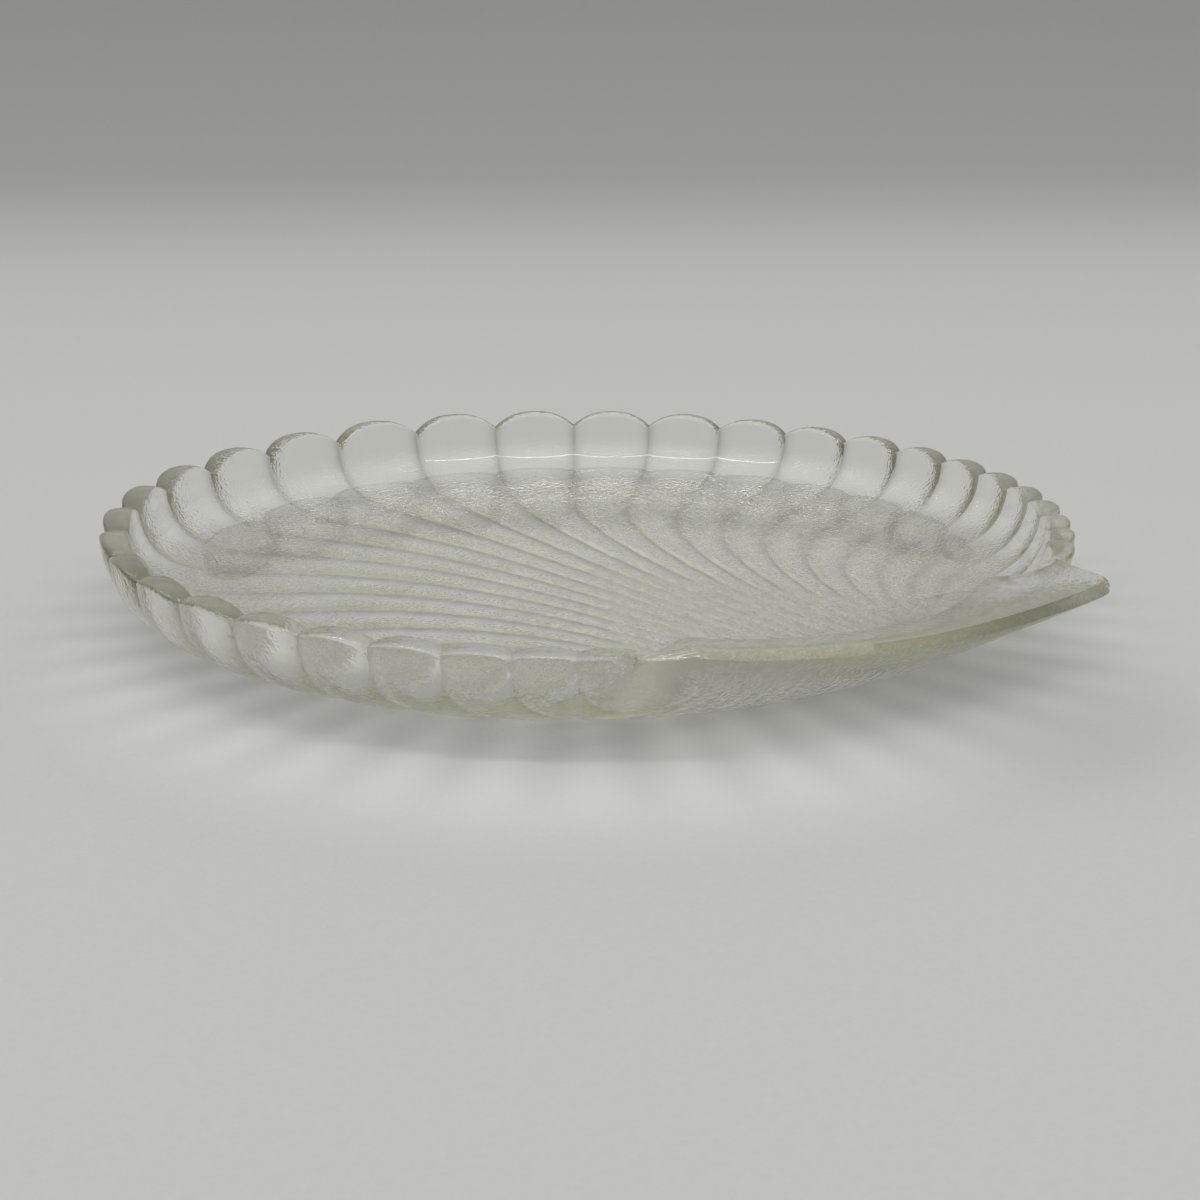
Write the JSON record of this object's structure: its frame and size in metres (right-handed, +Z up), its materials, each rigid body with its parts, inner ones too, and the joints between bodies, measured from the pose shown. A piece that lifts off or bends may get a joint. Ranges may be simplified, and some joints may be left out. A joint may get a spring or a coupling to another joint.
{
  "type": "scalloped dessert plate",
  "caption": "Shallow round dessert plate of clear pressed glass in the form of a fan shell, with a scalloped rim, a ribbed underside and a flat hinge tab with two ears.",
  "frame": {"origin": "centre of the resting face on the underside of the well", "axes": "+Z up, out of the well; -Y towards the hinge edge; +X to the right, seen from the hinge edge"},
  "size_m": [0.196, 0.1955, 0.022],
  "materials": {
    "glass": "gloss"
  },
  "bodies": {
    "root": {"glass_plate": "glass"}
  },
  "joints": []
}
